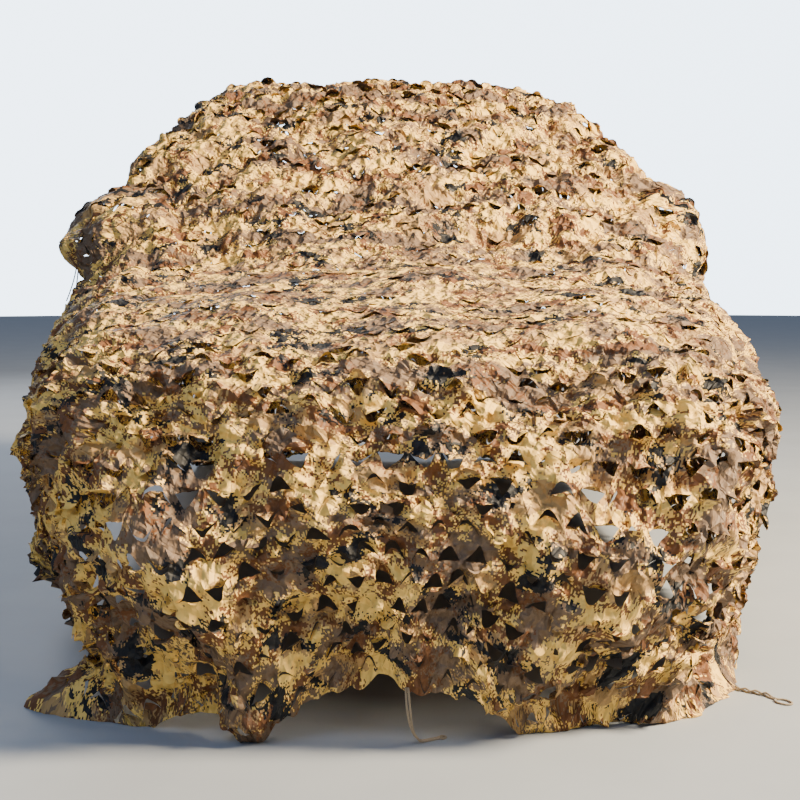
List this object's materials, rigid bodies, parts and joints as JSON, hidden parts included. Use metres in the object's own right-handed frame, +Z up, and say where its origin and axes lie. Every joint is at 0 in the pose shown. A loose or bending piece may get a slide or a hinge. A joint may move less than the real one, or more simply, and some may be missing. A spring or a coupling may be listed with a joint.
{
  "type": "camouflage net draped over a car, with its tie cords",
  "caption": "Leaf-cut desert camouflage net in the shape it takes draped over a car, hem partly on the floor, with loose tie cords.",
  "frame": {"origin": "on the floor, at the middle of the net's box seen from above", "axes": "+Z up, -Y towards the front of the covered car, +X to the viewer's right when the viewer faces its front"},
  "size_m": [1.9515, 4.5265, 1.6578],
  "materials": {
    "net_cloth": "matt",
    "tie_cord": "matt",
    "thin_tie_cord": "matt"
  },
  "bodies": {
    "root": {"net": "net_cloth", "tie_hem": "tie_cord", "tie_corner": "tie_cord", "tie_mirror_front": "thin_tie_cord", "tie_mirror_back": "thin_tie_cord"}
  },
  "joints": []
}
